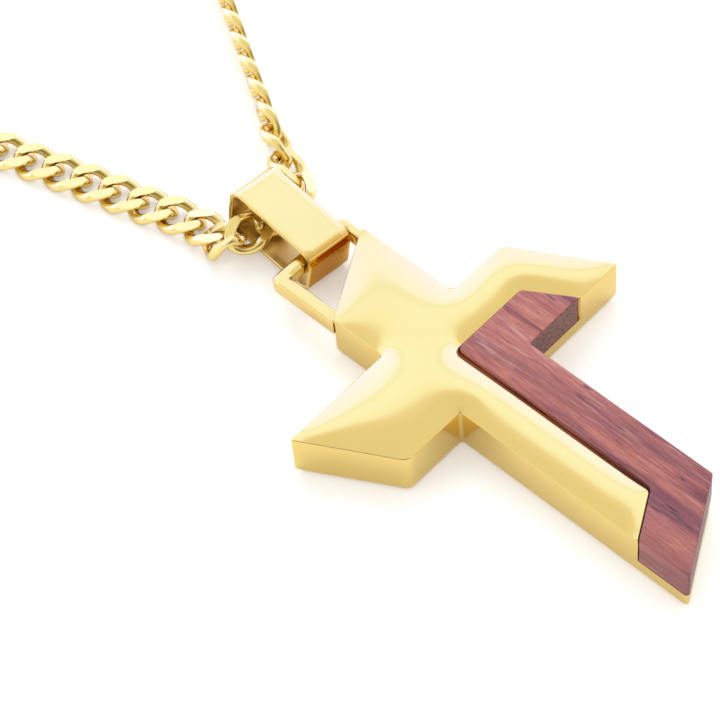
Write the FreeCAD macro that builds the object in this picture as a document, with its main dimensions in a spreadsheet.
import FreeCAD, Part
import math
import os

import Sketcher
from FreeCAD import Placement, Rotation, Vector

# Cross pendant on a curb chain, laid out flat on its back.
# Frame: origin at the middle of the cross on its back face, +X along the right arm,
# +Y to the upper end (the bail), +Z out of the face. The chain lies on the table at z = 0.
doc = FreeCAD.newDocument("cross_pendant")

# ---------------------------------------------------------------- driving dimensions
# alias, millimetres or degrees, note
SIZES = [
    ("bar_half", 4.5, "half width of each bar of the cross"),
    ("arm_long", 16.0, "reach of an arm along its longer edge"),
    ("arm_short", 11.0, "reach of an arm along its shorter edge"),
    ("head_long", 15.3, "reach of the upper end along its longer edge"),
    ("head_short", 10.3, "reach of the upper end along its shorter edge"),
    ("foot_long", 29.6, "reach of the lower end along its longer edge"),
    ("foot_short", 24.6, "reach of the lower end along its shorter edge"),
    ("rim_height", 5.0, "back face to the rim of the front"),
    ("back_round", 0.8, "rounding of the edges of the back"),
    ("tip_round", 1.1, "rounding of the blunt corner of an arm"),
    ("crotch_round", 0.9, "rounding of the inside corner above the right arm"),
    ("crown_rise", 0.9, "how far the pillowed front stands over its rim"),
    ("crown_inset", 0.3, "rim left flat round the pillow"),
    ("crown_slope", 58.0, "slope of the pillow's flank from the vertical"),
    ("seat_floor", 2.0, "back face to the floor of the inlay seat"),
    ("seat_reach", 8.3, "reach of the inlay along the middle line of the arm"),
    ("seat_toe", 11.05, "reach of the inlay along the lower edge of the arm"),
    ("seat_left", 24.1, "where the seat meets the left edge of the lower bar"),
    ("seat_mid", 21.6, "where the seat meets the middle line of the lower bar"),
    ("seat_round", 0.8, "rounding of the seat's corners"),
    ("wood_gap", 0.08, "gap between the wood and the seat's walls"),
    ("wood_proud", 0.4, "wood over the rim"),
    ("wood_ease", 0.3, "easing of the wood's upper edges"),
    ("glue_film", 0.1, "thickness of the adhesive"),
    ("glue_inset", 0.2, "adhesive kept back from the edge"),
    ("loop_left", 4.6, "outer face of the loop's left leg"),
    ("loop_right", 4.55, "outer face of the loop's right leg"),
    ("loop_left_in", 3.3, "inner face of the left leg"),
    ("loop_right_in", 3.68, "inner face of the right leg"),
    ("loop_top", 17.95, "outer face of the loop's bar"),
    ("loop_top_in", 16.65, "inner face of the loop's bar"),
    ("loop_low", 2.7, "underside of the loop"),
    ("loop_high", 4.35, "upper side of the loop"),
    ("loop_corner", 0.65, "outer corners of the loop"),
    ("loop_ease", 0.45, "rounding along the loop's bar"),
    ("bail_wide", 4.85, "width of the bail's strip"),
    ("bail_tall", 10.6, "length of the bail"),
    ("bail_deep", 4.95, "depth of the bail"),
    ("bail_sheet", 0.45, "thickness of the strip"),
    ("bail_bend", 1.25, "outer radius of the bends"),
    ("bail_bend_in", 0.8, "inner radius of the bends"),
    ("bail_east", 0.57, "bail's place along X"),
    ("bail_north", 16.14, "bail's place along Y"),
    ("bail_up", 0.20, "bail's place along Z"),
    ("bail_yaw", -2.65, "bail turned about Z"),
    ("bail_pitch", 5.5, "bail's far end raised"),
    ("bail_roll", 6.0, "bail leaned about Y"),
    ("link_long", 2.1, "half length of a link's wire centreline"),
    ("link_wide", 1.5, "half width of a link's wire centreline"),
    ("link_twist", -48.0, "twist of each end of a link"),
    ("link_wire", 0.5, "radius of the link wire"),
    ("link_flat", 1.56, "thickness of the chain after its faces are ground flat"),
    ("link_pitch", 3.0, "pitch of the chain"),
    ("chain_flat", 0.82, "height of a flat link's centre over the table"),
    ("chain_edge", 2.07, "height of an on-edge link's centre over the table"),
    ("end_ring_big", 2.4, "end ring, wire centre radius"),
    ("end_ring_wire", 0.5, "end ring, wire radius"),
    ("jump_ring_big", 1.8, "jump ring, wire centre radius"),
    ("jump_ring_wire", 0.42, "jump ring, wire radius"),
    ("clasp_half", 1.1, "half thickness of the clasp"),
    ("clasp_lug", 1.45, "clasp tail lug, wire centre radius"),
    ("clasp_lug_wire", 0.5, "clasp tail lug, wire radius"),
    ("clasp_eye", 6.9, "clasp tail lug to the middle of the hook"),
    ("clasp_outer", 3.0, "outer radius of the hook"),
    ("clasp_inner", 1.75, "inner radius of the hook"),
    ("shoulder_share", 0.78, "shoulder radius as a share of the hook's outer radius"),
    ("shoulder_back", 2.75, "shoulder's centre behind the middle of the hook"),
    ("shoulder_side", 0.25, "shoulder's centre across the clasp"),
    ("clasp_neck", 1.1, "half width of the neck"),
    ("neck_start", 1.6, "where the neck leaves the tail lug"),
    ("neck_share", 0.85, "neck thickness as a share of the clasp's"),
    ("clasp_pin_x", 4.2, "pivot pin along the clasp"),
    ("clasp_pin_y", 1.7, "pivot pin across the clasp"),
    ("clasp_pin_round", 0.4, "pivot pin radius"),
    ("clasp_pin_fit", 0.01, "pivot pin clearance in the clasp body"),
    ("lever_fit", 0.05, "pivot pin clearance in the lever"),
    ("lever_half", 0.7, "half thickness of the lever"),
    ("slot_half", 0.75, "half width of the lever slot"),
    ("slot_behind", 1.3, "lever slot behind the pivot"),
    ("slot_ahead", 2.3, "lever slot ahead of the pivot"),
    ("slot_low", 0.2, "start of the lever slot across the clasp"),
    ("lever_swing", 4.28, "pivot to the end of the lever"),
    ("lever_low", 0.8, "start of the lever's arc across the clasp"),
    ("mouth_swing", 4.36, "pivot to the tip of the hook"),
    ("mouth_ahead", 1.1, "start of the mouth ahead of the pivot"),
    ("mouth_low", 0.3, "start of the mouth across the clasp"),
    ("lever_root", 1.05, "radius of the lever's root"),
    ("thumb_round", 0.62, "radius of the thumb tab"),
    ("thumb_ahead", 0.95, "thumb tab ahead of the pivot"),
    ("thumb_side", 1.35, "thumb tab outward of the pivot"),
    ("pocket_wall", 0.1, "wall left round the spring pocket"),
    ("pocket_floor", 0.05, "floor of the spring pocket over the lever's mid plane"),
    ("spring_round", 0.64, "lever spring, wire centre radius"),
    ("spring_wire", 0.15, "lever spring, half diagonal of the square wire"),
    ("spring_pitch", 0.25, "lever spring, pitch"),
    ("spring_turns", 1.75, "lever spring, number of turns"),
    ("spring_lift", 0.185, "start of the spring over the lever's mid plane"),
]
sheet = doc.addObject("Spreadsheet::Sheet", "Sizes")
VALUE = {}
for row, (alias, number, note) in enumerate(SIZES, start=1):
    sheet.set("A%d" % row, alias)
    sheet.set("B%d" % row, "%g" % number)
    sheet.set("C%d" % row, note)
    sheet.setAlias("B%d" % row, alias)
    VALUE[alias] = number
doc.recompute()


class Size:
    """A length kept both as a number and as the sheet expression that it comes from."""

    def __init__(self, number, text):
        self.number = number
        self.text = text

    @staticmethod
    def of(other):
        return other if isinstance(other, Size) else Size(float(other), "%g" % other)

    def __add__(self, other):
        other = Size.of(other)
        return Size(self.number + other.number, "(%s + %s)" % (self.text, other.text))

    def __sub__(self, other):
        other = Size.of(other)
        return Size(self.number - other.number, "(%s - %s)" % (self.text, other.text))

    def __mul__(self, other):
        other = Size.of(other)
        return Size(self.number * other.number, "(%s * %s)" % (self.text, other.text))

    def __neg__(self):
        return Size(-self.number, "(-1 * %s)" % self.text)


def size(alias):
    return Size(VALUE[alias], "Sizes." + alias)


def bind(obj, name, length):
    obj.setExpression(name, Size.of(length).text)


# ---------------------------------------------------------------- helpers for sketched bodies
def new_body(name):
    return doc.addObject("PartDesign::Body", name)


def polygon(body, name, points, height=None, role="XY_Plane"):
    """A closed polygon whose corners are held at sheet distances from the sketch's origin."""
    plane = [f for f in body.Origin.OriginFeatures if f.Role == role][0]
    sketch = body.newObject("Sketcher::SketchObject", name)
    sketch.AttachmentSupport = [(plane, "")]
    sketch.MapMode = "FlatFace"
    if height is not None:
        bind(sketch, "AttachmentOffset.Base.z", height)
    points = [(Size.of(x), Size.of(y)) for x, y in points]
    corners = [Vector(x.number, y.number, 0) for x, y in points]
    count = len(points)
    for i in range(count):
        sketch.addGeometry(Part.LineSegment(corners[i], corners[(i + 1) % count]), False)
    for i in range(count):
        sketch.addConstraint(Sketcher.Constraint("Coincident", i, 2, (i + 1) % count, 1))
    for i, (x, y) in enumerate(points):
        # -2 is the sketch's vertical axis, -1 its horizontal axis; (-1, 1) is its origin
        for kind, axis, length in (("DistanceX", -2, x), ("DistanceY", -1, y)):
            if abs(length.number) < 1e-9:
                sketch.addConstraint(Sketcher.Constraint("PointOnObject", i, 1, axis))
                continue
            if length.number > 0:
                ends = (-1, 1, i, 1)
            else:
                ends = (i, 1, -1, 1)
                length = -length
            index = sketch.addConstraint(Sketcher.Constraint(kind, *ends, length.number))
            bind(sketch, "Constraints[%d]" % index, length)
    return sketch


def pad(body, sketch, name, length, both=False, taper=None):
    feature = body.newObject("PartDesign::Pad", name)
    feature.Profile = sketch
    bind(feature, "Length", length)
    if both:
        feature.Midplane = True
    if taper is not None:
        bind(feature, "TaperAngle", taper)
    doc.recompute()


def round_edges(body, name, radius, wanted):
    """Round the edges for which wanted(edge) holds."""
    base = body.Tip
    names = ["Edge%d" % (i + 1) for i, edge in enumerate(base.Shape.Edges) if wanted(edge)]
    feature = body.newObject("PartDesign::Fillet", name)
    feature.Base = (base, names)
    bind(feature, "Radius", radius)
    doc.recompute()


def end_points(edge):
    return edge.Vertexes[0].Point, edge.Vertexes[-1].Point


def is_line(edge):
    return edge.Curve.TypeId == "Part::GeomLine"


def upright_at(x, y):
    """Selects the edges that stand along Z at (x, y)."""
    x, y = Size.of(x).number, Size.of(y).number

    def wanted(edge):
        ends = end_points(edge)
        return (all(abs(p.x - x) < 1e-4 and abs(p.y - y) < 1e-4 for p in ends)
                and abs(ends[0].z - ends[1].z) > 0.5)
    return wanted


def level_at(z):
    """Selects the edges that lie wholly at height z."""
    z = Size.of(z).number

    def wanted(edge):
        return all(abs(p.z - z) < 1e-4 for p in edge.discretize(5))
    return wanted


def lies_across(edge):
    """Holds for a straight edge that runs the bail's width, along X."""
    if not is_line(edge):
        return False
    start, end = end_points(edge)
    return abs(start.x - end.x) > 1


# ---------------------------------------------------------------- slanted ends
BAR = size("bar_half")
SEAT_FLOOR, RIM = size("seat_floor"), size("rim_height")
SEAT_REACH, SEAT_TOE = size("seat_reach"), size("seat_toe")
SEAT_LEFT, SEAT_MID = size("seat_left"), size("seat_mid")

# Slants are run over width. The arms, foot and lower end of the seat share the head's slant.
END_SLANT = (VALUE["head_long"] - VALUE["head_short"]) / (2 * VALUE["bar_half"])
TOE_SLANT = (VALUE["seat_toe"] - VALUE["seat_reach"]) / VALUE["bar_half"]


def offset_factors(slant):
    """Shifts of a slanted line's ends per unit of offset: sharp corner, blunt corner, and
    an end whose straight edge is not itself offset."""
    square = math.hypot(1, slant)
    return round(square + slant, 3), round(square - slant, 3), round(square, 3)


SHARP, BLUNT, SQUARE = offset_factors(END_SLANT)
TOE_SHARP, TOE_BLUNT, TOE_SQUARE = offset_factors(TOE_SLANT)


# ---------------------------------------------------------------- cross body
def cross_body():
    """The cross, with the inlay seat cut in its lower right and a pillow on the rest."""
    body = new_body("cross_body")
    arm_long, arm_short = size("arm_long"), size("arm_short")
    outline = polygon(body, "cross_outline", [
        (BAR, size("head_long")),
        (-BAR, size("head_short")),
        (-BAR, BAR),
        (-arm_long, BAR),
        (-arm_short, -BAR),
        (-BAR, -BAR),
        (-BAR, -size("foot_long")),
        (BAR, -size("foot_short")),
        (BAR, -BAR),
        (arm_long, -BAR),
        (arm_short, BAR),
        (BAR, BAR)])
    pad(body, outline, "cross_blank", RIM)
    round_edges(body, "arm_tip_left", size("tip_round"), upright_at(-arm_short, -BAR))
    round_edges(body, "arm_tip_right", size("tip_round"), upright_at(arm_short, BAR))
    round_edges(body, "crotch", size("crotch_round"), upright_at(BAR, BAR))
    round_edges(body, "back_edges", size("back_round"), level_at(0.0))
    solid_volume = body.Shape.Volume

    # The seat's slanted ends are carried past the bars' edges.
    overrun, overrun_foot = 1.5, 2
    toe_x = SEAT_TOE + round(overrun * TOE_SLANT, 4)
    left_x = -BAR - overrun
    foot_y = -size("foot_long") - overrun_foot
    seat = polygon(body, "seat_outline", [
        (0, 0),
        (SEAT_REACH, 0),
        (toe_x, -BAR - overrun),
        (toe_x, foot_y),
        (left_x, foot_y),
        (left_x, -SEAT_LEFT - round(overrun * END_SLANT, 4)),
        (0, -SEAT_MID)], height=SEAT_FLOOR)
    pocket = body.newObject("PartDesign::Pocket", "seat")
    pocket.Profile = seat
    pocket.Reversed = True  # cut upward, from the seat's floor through the front
    bind(pocket, "Length", RIM)
    doc.recompute()
    if not 0.55 * solid_volume < body.Shape.Volume < 0.9 * solid_volume:
        raise RuntimeError("the inlay seat is not cut")
    round_edges(body, "seat_corner_mid", size("seat_round"), upright_at(0, -SEAT_MID))

    rim = size("crown_inset")
    crown = polygon(body, "crown_outline", [
        (BAR - rim, size("head_long") - rim * SHARP),
        (-BAR + rim, size("head_short") - rim * BLUNT),
        (-BAR + rim, BAR - rim),
        (-arm_long + rim * SHARP, BAR - rim),
        (-arm_short + rim * BLUNT, -BAR + rim),
        (-BAR + rim, -BAR + rim),
        (-BAR + rim, -SEAT_LEFT + rim * SHARP),
        (-rim, -SEAT_MID + rim * BLUNT),
        (-rim, rim),
        (SEAT_REACH + rim * TOE_BLUNT, rim),
        (SEAT_TOE + rim * TOE_BLUNT, -BAR + rim),
        (arm_long - rim * SHARP, -BAR + rim),
        (arm_short - rim * BLUNT, BAR - rim),
        (BAR - rim, BAR - rim)], height=RIM)
    pad(body, crown, "crown", size("crown_rise"), taper=-size("crown_slope"))
    return body


# ---------------------------------------------------------------- wood inlay and its adhesive
def wood_inlay():
    """The wood keeps a gap to the seat's walls and is flush with the bars' outer edges."""
    body = new_body("wood_inlay")
    gap = size("wood_gap")
    upper = (gap, -gap)
    right = (SEAT_REACH - gap * TOE_BLUNT, -gap)
    mid = (gap, -SEAT_MID - gap * BLUNT)
    base = SEAT_FLOOR + size("glue_film")
    outline = polygon(body, "wood_outline", [
        upper,
        right,
        (SEAT_TOE - gap * TOE_SQUARE, -BAR),
        (BAR, -BAR),
        (BAR, -size("foot_short")),
        (-BAR, -size("foot_long")),
        (-BAR, -SEAT_LEFT - gap * SQUARE),
        mid], height=base)
    top = RIM + size("wood_proud")
    pad(body, outline, "wood_blank", top - base)
    for name, corner in (("upper", upper), ("right", right), ("mid", mid)):
        round_edges(body, "wood_corner_" + name, size("seat_round"), upright_at(*corner))
    round_edges(body, "wood_top_edges", size("wood_ease"), level_at(top))
    return body


def inlay_adhesive():
    """A thin film on the seat's floor, kept back from every edge."""
    body = new_body("inlay_adhesive")
    inset = size("glue_inset")
    outline = polygon(body, "film_outline", [
        (inset, -inset),
        (SEAT_REACH - inset * TOE_BLUNT, -inset),
        (SEAT_TOE - inset * TOE_SHARP, -BAR + inset),
        (BAR - inset, -BAR + inset),
        (BAR - inset, -size("foot_short") + inset * BLUNT),
        (-BAR + inset, -size("foot_long") + inset * SHARP),
        (-BAR + inset, -SEAT_LEFT - inset * BLUNT),
        (inset, -SEAT_MID - inset * BLUNT)], height=SEAT_FLOOR)
    pad(body, outline, "film", size("glue_film"))
    return body


# ---------------------------------------------------------------- hanging loop
def hanging_loop():
    """A squared loop whose two legs stand on the slanted upper end."""
    body = new_body("hanging_loop")
    left, left_in = -size("loop_left"), -size("loop_left_in")
    right, right_in = size("loop_right"), size("loop_right_in")
    top, top_in = size("loop_top"), size("loop_top_in")
    low, high = size("loop_low"), size("loop_high")
    middle = (size("head_long") + size("head_short")) * 0.5

    def on_slant(x):
        return x, middle + x * END_SLANT

    outline = polygon(body, "loop_outline", [
        on_slant(left), (left, top), (right, top), on_slant(right),
        on_slant(right_in), (right_in, top_in), (left_in, top_in), on_slant(left_in)],
        height=low)
    pad(body, outline, "loop_blank", high - low)
    round_edges(body, "loop_corner_left", size("loop_corner"), upright_at(left, top))
    round_edges(body, "loop_corner_right", size("loop_corner"), upright_at(right, top))

    def on_bar(edge):
        if not (level_at(high)(edge) or level_at(low)(edge)) or not is_line(edge):
            return False
        start, end = end_points(edge)
        return (abs(start.y - end.y) < 1e-5
                and min(abs(start.y - face.number) for face in (top, top_in)) < 1e-4)

    round_edges(body, "loop_bar_edges", size("loop_ease"), on_bar)
    return body


# ---------------------------------------------------------------- bail
X_AXIS, Y_AXIS, Z_AXIS = Vector(1, 0, 0), Vector(0, 1, 0), Vector(0, 0, 1)


def bail_strip():
    """A strip folded into a closed loop; its profile lies in YZ and its width along X."""
    body = new_body("bail")
    tall, deep, strip = size("bail_tall"), size("bail_deep"), size("bail_sheet")
    outer = polygon(body, "bail_outer", [(0, 0), (tall, 0), (tall, deep), (0, deep)],
                    role="YZ_Plane")
    pad(body, outer, "bail_block", size("bail_wide"), both=True)
    round_edges(body, "bail_bends", size("bail_bend"), lies_across)
    block_volume = body.Shape.Volume
    inner = polygon(body, "bail_inner", [
        (strip, strip), (tall - strip, strip), (tall - strip, deep - strip),
        (strip, deep - strip)], role="YZ_Plane")
    opening = body.newObject("PartDesign::Pocket", "bail_opening")
    opening.Profile = inner
    opening.Midplane = True
    bind(opening, "Length", size("bail_wide") + 2)
    doc.recompute()
    if not body.Shape.Volume < 0.5 * block_volume:
        raise RuntimeError("the bail's opening is not cut")
    corners = [(y.number, z.number)
               for y in (strip, tall - strip) for z in (strip, deep - strip)]

    def inner_corner(edge):
        start = edge.Vertexes[0].Point
        return lies_across(edge) and any(
            abs(start.y - y) < 1e-4 and abs(start.z - z) < 1e-4 for y, z in corners)

    round_edges(body, "bail_bends_inside", size("bail_bend_in"), inner_corner)
    turn = (Rotation(Y_AXIS, VALUE["bail_roll"]) * Rotation(X_AXIS, VALUE["bail_pitch"])
            * Rotation(Z_AXIS, VALUE["bail_yaw"]))
    place = Vector(VALUE["bail_east"], VALUE["bail_north"], VALUE["bail_up"])
    body.Placement = Placement(place, turn)
    return body


# ---------------------------------------------------------------- chain lay-out
# A link's own frame: x along the link, y across it, z out of its flat.
# Poses are x, y, z, then the turn as a quaternion x, y, z, w.

# The nine links that run through the bail, from its left opening to its right one.
BAIL_LINKS = [
    (-3.3957, 30.7571, 1.0000, 0.00000, 0.00000, -0.60943, 0.79284),
    (-2.9961, 27.7644, 1.2586, -0.05791, -0.03634, -0.68501, 0.72532),
    (-3.2651, 25.3397, 1.9955, -0.16749, -0.25046, -0.57899, 0.75762),
    (-1.0771, 23.8756, 2.5209, 0.10350, -0.06183, -0.13773, 0.98310),
    (1.9184, 23.5672, 2.5256, 0.09313, 0.03208, -0.00174, 0.99514),
    (4.7936, 24.2714, 2.1580, 0.12324, 0.08446, 0.19490, 0.96938),
    (6.5270, 26.4807, 1.7454, 0.30285, 0.17828, 0.50500, 0.78834),
    (7.9207, 29.1390, 1.9554, 0.46455, 0.24569, 0.46869, 0.71004),
    (9.3423, 31.7468, 2.0500, 0.61515, 0.34871, 0.34871, 0.61515),
]
# The pieces after the last laid link of each run, in the run's end frame:
# x along the run, z up from the table.
LEFT_END_LINKS = [
    (3.0065, -0.2846, 1.2198, -0.03151, -0.05776, -0.05308, 0.99642),
    (5.7900, 0.2364, 1.3863, 0.03769, -0.04866, 0.23461, 0.97014),
]
END_RING_POSE = (8.1375, 2.2567, 1.9175, -0.93266, -0.19138, 0.10319, 0.28787)
RIGHT_END_LINKS = [
    (2.7988, -0.5083, 1.4118, 0.17920, -0.02428, -0.14981, 0.97204),
    (5.5637, -1.2771, 1.7040, 0.19012, -0.12191, -0.12580, 0.96601),
]
JUMP_RING_POSE = (7.9765, -0.3961, 2.0424, -0.85192, -0.08269, 0.19799, 0.47770)
CLASP_POSE = (9.7664, -0.1592, 1.4379, -0.00001, 0.01627, 0.00086, 0.99987)

# The runs laid on the table: number of links, bend at each link in degrees
# (counterclockwise from above), roll about the link's length in degrees, lift in mm.
LEFT_HEADING = 104.9  # degrees from +X, at the run's start
LEFT_PLAN = [
    (10, 0.25, 0, 0), (8, 1.7, 0, 0), (18, -0.6, 0, 0), (16, -2.4, 0, 0), (13, -3.6, 0, 0),
    (1, -1.0, 0, 0.06), (1, -0.5, 0, 0.12), (1, 0, 0, 0.18),
]
RIGHT_HEADING = 59.09
RIGHT_PLAN = [
    (1, 0, -93, 0), (5, 0, -97, 0), (1, 0, -84, 0), (1, 0, -69, 0), (1, 0, -54, 0),
    (1, 0, -39, 0), (1, 0, -24, 0), (1, 0, -10, 0), (1, 0, 0, 0),
    (1, -1.0, 0, 0), (2, -1.1, 0, 0), (20, 0.7, 0, 0), (18, 2.5, 0, 0), (13, 3.6, 0, 0),
    (1, 1.0, 0, 0.06), (1, 0.5, 0, 0.12), (1, 0, 0, 0.18),
]
MAX_CLIMB = 0.22  # most that a link's centre rises or falls from the one before

# Links in each exported length of chain, from the bail outward.
LEFT_LENGTHS = [6, 10, 12, 14, 14, 14]
RIGHT_LENGTHS = [14, 10, 10, 12, 12, 14]


def pose(row):
    return Placement(Vector(*row[:3]), Rotation(*row[3:]))


def lay_run(start, heading, plan):
    """Lay links on the table from a start link. Gives their placements and the end frame."""
    x, y, z = start[:3]
    pitch, flat_z, edge_z = VALUE["link_pitch"], VALUE["chain_flat"], VALUE["chain_edge"]
    laid = []
    for count, bend, roll, lift in plan:
        goal = flat_z + (edge_z - flat_z) * abs(math.sin(math.radians(roll))) + lift
        for _ in range(count):
            # Half a pitch along the old heading, half along the new one.
            for angle in (heading, heading + bend):
                x += pitch / 2 * math.cos(math.radians(angle))
                y += pitch / 2 * math.sin(math.radians(angle))
            heading += bend
            climb = max(-MAX_CLIMB, min(MAX_CLIMB, goal - z))
            z += climb
            rise = math.degrees(math.asin(climb / pitch))
            turn = (Rotation(Z_AXIS, heading) * Rotation(Y_AXIS, -rise)
                    * Rotation(X_AXIS, roll))
            laid.append(Placement(Vector(x, y, z), turn))
    return laid, Placement(Vector(x, y, 0), Rotation(Z_AXIS, heading))


# ---------------------------------------------------------------- the curb link
def link_solid():
    """One twisted link: its wire follows arcs that meet tangentially, and both broad faces
    are ground flat."""
    long_half, wide_half = VALUE["link_long"], VALUE["link_wide"]
    twist, flat = math.radians(VALUE["link_twist"]), VALUE["link_flat"]

    def point(angle):
        """The centreline: an ellipse twisted about its length."""
        reach, lean = wide_half * math.sin(angle), twist * math.cos(angle)
        return Vector(long_half * math.cos(angle), reach * math.cos(lean),
                      reach * math.sin(lean))

    def direction(angle):
        return (point(angle + 1e-4) - point(angle - 1e-4)).normalize()

    def arc(start, heading, end):
        """Wire along the arc that leaves start on the heading and passes through end."""
        chord = end - start
        side = chord - heading * heading.dot(chord)
        side.normalize()
        radius = chord.dot(chord) / (2 * side.dot(chord))
        sweep = math.degrees(2 * math.atan2(side.dot(chord), heading.dot(chord)))
        circle = Part.Circle(start, heading, VALUE["link_wire"])
        disc = Part.Face(Part.Wire([circle.toShape()]))
        return disc.revolve(start + side * radius, heading.cross(side), sweep)

    # Each stretch between stations is a pair of arcs with equal tangent lengths.
    pieces, stations = [], 8
    for i in range(stations):
        angles = (2 * math.pi * i / stations, 2 * math.pi * (i + 1) / stations)
        start, end = (point(angle) for angle in angles)
        start_dir, end_dir = (direction(angle) for angle in angles)
        chord, dir_sum = end - start, start_dir + end_dir
        spread = 2 * (1 - start_dir.dot(end_dir))
        along = chord.dot(dir_sum)
        tangent = (-along + math.sqrt(along ** 2 + spread * chord.dot(chord))) / spread
        joint = (start + end + (start_dir - end_dir) * tangent) * 0.5
        joint_dir = (joint - (start + start_dir * tangent)).normalize()
        pieces += [arc(start, start_dir, joint), arc(joint, joint_dir, end)]
    whole = pieces[0].multiFuse(pieces[1:]).removeSplitter()
    side = 8  # wider than the link
    slab = Part.makeBox(side, side, flat, Vector(-side / 2, -side / 2, -flat / 2))
    return whole.common(slab).Solids[0]


LINK = link_solid()


def link_group(name, poses):
    """A length of chain: identical separate links, each at its own place. The group's own
    origin is its first link's centre."""
    feature = doc.addObject("Part::Feature", name)
    first = poses[0].Base
    solids = []
    for place in poses:
        link = LINK.copy()
        link.Placement = Placement(place.Base - first, place.Rotation)
        solids.append(link)
    feature.Shape = Part.makeCompound(solids)
    feature.Placement = Placement(first, Rotation())
    return feature


def chain_run(side, poses, lengths):
    groups, done = [], 0
    for number, count in enumerate(lengths, start=1):
        groups.append(link_group("chain_%s_%d" % (side, number), poses[done:done + count]))
        done += count
    return groups


def torus(name, big, wire):
    obj = doc.addObject("Part::Torus", name)
    bind(obj, "Radius1", size(big))
    bind(obj, "Radius2", size(wire))
    return obj


def ring(name, place):
    """A closed ring at the end of a run."""
    obj = torus(name, name + "_big", name + "_wire")
    obj.Placement = place
    return obj


# ---------------------------------------------------------------- helpers for the clasp
def set_base(obj, x, y, z):
    for axis, value in (("x", x), ("y", y), ("z", z)):
        bind(obj, "Placement.Base." + axis, value)


def cylinder(name, radius, low, high, x=0.0, y=0.0):
    obj = doc.addObject("Part::Cylinder", name)
    bind(obj, "Radius", radius)
    bind(obj, "Height", high - low)
    set_base(obj, x, y, low)
    return obj


def block(name, x1, x2, y1, y2, z1, z2):
    obj = doc.addObject("Part::Box", name)
    for prop, low, high in (("Length", x1, x2), ("Width", y1, y2), ("Height", z1, z2)):
        bind(obj, prop, high - low)
    set_base(obj, x1, y1, z1)
    return obj


def cut(name, base, tool):
    obj = doc.addObject("Part::Cut", name)
    obj.Base, obj.Tool = base, tool
    return obj


def join(name, *pieces):
    obj = doc.addObject("Part::MultiFuse", name)
    obj.Shapes = list(pieces)
    obj.Refine = True
    return obj


def shared(name, *pieces):
    obj = doc.addObject("Part::MultiCommon", name)
    obj.Shapes = list(pieces)
    return obj


# ---------------------------------------------------------------- lobster clasp
# Drawn with its tail lug at the origin and its hook along +X.
THICK, LEVER_THICK = size("clasp_half"), size("lever_half")
EYE = size("clasp_eye")
OUTER, INNER = size("clasp_outer"), size("clasp_inner")
PIN_X, PIN_Y = size("clasp_pin_x"), size("clasp_pin_y")
PIN_ROUND = size("clasp_pin_round")
CUT_PAST = 1  # cutting tools run this far past the faces
PAST_X, PAST_Y = 6, 4  # clipping blocks end this far from the pivot, past the hook


def hook_body(place):
    """Hook, shoulder and neck, less the hole, mouth, slot and pin hole; then the tail lug."""
    low, high = -THICK - CUT_PAST, THICK + CUT_PAST
    hook_disc = cylinder("hook_disc", OUTER, -THICK, THICK, EYE)
    shoulder = cylinder("shoulder", OUTER * size("shoulder_share"), -THICK, THICK,
                        EYE - size("shoulder_back"), size("shoulder_side"))
    neck_thick = THICK * size("neck_share")
    neck = block("neck", size("neck_start"), EYE - OUTER,
                 -size("clasp_neck"), size("clasp_neck"), -neck_thick, neck_thick)
    lug = torus("tail_lug", "clasp_lug", "clasp_lug_wire")
    blank = join("clasp_blank", hook_disc, shoulder, neck)
    hook_hole = cylinder("hook_hole", INNER, low, high, EYE)
    mouth = shared(
        "mouth",
        cylinder("mouth_round", size("mouth_swing"), low, high, PIN_X, PIN_Y),
        block("mouth_block", PIN_X + size("mouth_ahead"), PIN_X + PAST_X,
              size("mouth_low"), PIN_Y + PAST_Y, low, high))
    slot = block("lever_slot", PIN_X - size("slot_behind"), PIN_X + size("slot_ahead"),
                 size("slot_low"), PIN_Y + 3, -size("slot_half"), size("slot_half"))
    pin_hole = cylinder("pin_hole", PIN_ROUND + size("clasp_pin_fit"), low, high,
                        PIN_X, PIN_Y)
    tools = join("clasp_tools", hook_hole, mouth, slot, pin_hole)
    body = join("clasp_body", cut("clasp_cut", blank, tools), lug)
    body.Placement = place
    return body


def lever(place):
    """The lever: a root round the pin, an arc that closes the hook, and a thumb tab."""
    low, high = -LEVER_THICK, LEVER_THICK
    past_low, past_high = low - CUT_PAST, high + CUT_PAST
    hook_ring = cut("lever_ring", cylinder("lever_out", OUTER, low, high, EYE),
                    cylinder("lever_in", INNER, past_low, past_high, EYE))
    reach = shared(
        "lever_reach",
        cylinder("lever_swing_disc", size("lever_swing"), low, high, PIN_X, PIN_Y),
        block("lever_half_plane", PIN_X, PIN_X + PAST_X,
              size("lever_low"), PIN_Y + PAST_Y, low, high))
    arc = shared("lever_arc", hook_ring, reach)
    root = cylinder("lever_disc", size("lever_root"), low, high, PIN_X, PIN_Y)
    thumb = cylinder("thumb_tab", size("thumb_round"), low, high,
                     PIN_X + size("thumb_ahead"), PIN_Y + size("thumb_side"))
    tools = join(
        "lever_tools",
        cylinder("lever_bore", PIN_ROUND + size("lever_fit"), past_low, past_high,
                 PIN_X, PIN_Y),
        cylinder("spring_pocket", size("lever_root") - size("pocket_wall"),
                 size("pocket_floor"), past_high, PIN_X, PIN_Y))
    body = cut("clasp_lever", join("lever_blank", arc, root, thumb), tools)
    body.Placement = place
    return body


def on_pivot(place, z):
    return place * Placement(Vector(PIN_X.number, PIN_Y.number, z), Rotation())


def pivot_pin(place):
    pin = doc.addObject("Part::Cylinder", "clasp_pin")
    bind(pin, "Radius", PIN_ROUND)
    bind(pin, "Height", THICK * 2)
    pin.Placement = on_pivot(place, -VALUE["clasp_half"])
    return pin


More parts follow.
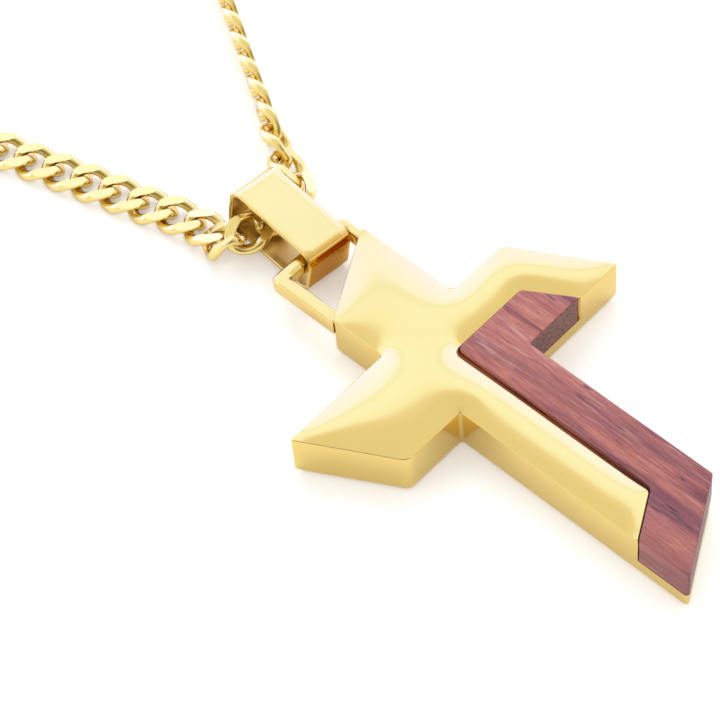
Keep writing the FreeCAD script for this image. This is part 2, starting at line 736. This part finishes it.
def lever_spring(place):
    """A short coil of square wire round the pin, in the lever's pocket."""
    path = doc.addObject("Part::Helix", "coil_path")
    bind(path, "Pitch", size("spring_pitch"))
    bind(path, "Height", size("spring_pitch") * size("spring_turns"))
    bind(path, "Radius", size("spring_round"))
    wire = doc.addObject("Part::RegularPolygon", "coil_wire")
    wire.Polygon = 4
    bind(wire, "Circumradius", size("spring_wire"))
    wire.Placement = Placement(Vector(VALUE["spring_round"], 0, 0), Rotation(X_AXIS, 90))
    doc.recompute()
    coil = doc.addObject("Part::Sweep", "clasp_spring")
    coil.Sections = [wire]
    coil.Spine = (path, ["Edge%d" % (i + 1) for i in range(len(path.Shape.Edges))])
    coil.Solid = True
    coil.Frenet = True
    coil.Placement = on_pivot(place, VALUE["spring_lift"])
    return coil


# ---------------------------------------------------------------- build
parts = [cross_body(), wood_inlay(), inlay_adhesive(), hanging_loop(), bail_strip()]

left_links, left_end = lay_run(BAIL_LINKS[0], LEFT_HEADING, LEFT_PLAN)
right_links, right_end = lay_run(BAIL_LINKS[-1], RIGHT_HEADING, RIGHT_PLAN)
left_links += [left_end * pose(row) for row in LEFT_END_LINKS]
right_links += [right_end * pose(row) for row in RIGHT_END_LINKS]
parts.append(link_group("chain_bail_links", [pose(row) for row in BAIL_LINKS]))
parts += chain_run("left", left_links, LEFT_LENGTHS)
parts += chain_run("right", right_links, RIGHT_LENGTHS)
parts.append(ring("end_ring", left_end * pose(END_RING_POSE)))
parts.append(ring("jump_ring", right_end * pose(JUMP_RING_POSE)))

clasp_place = right_end * pose(CLASP_POSE)
parts += [make(clasp_place) for make in (hook_body, lever, pivot_pin, lever_spring)]

# ---------------------------------------------------------------- check and export
doc.recompute()
for obj in doc.Objects:
    if "Invalid" in obj.State or "Error" in obj.State:
        raise RuntimeError("%s did not compute: %s" % (obj.Label, obj.State))
for part in parts:
    if part.Shape.isNull() or not part.Shape.isValid() or not part.Shape.Solids:
        raise RuntimeError("%s has no valid solid" % part.Label)
os.makedirs("parts", exist_ok=True)
for part in parts:
    part.Shape.exportStep("parts/%s.step" % part.Label)
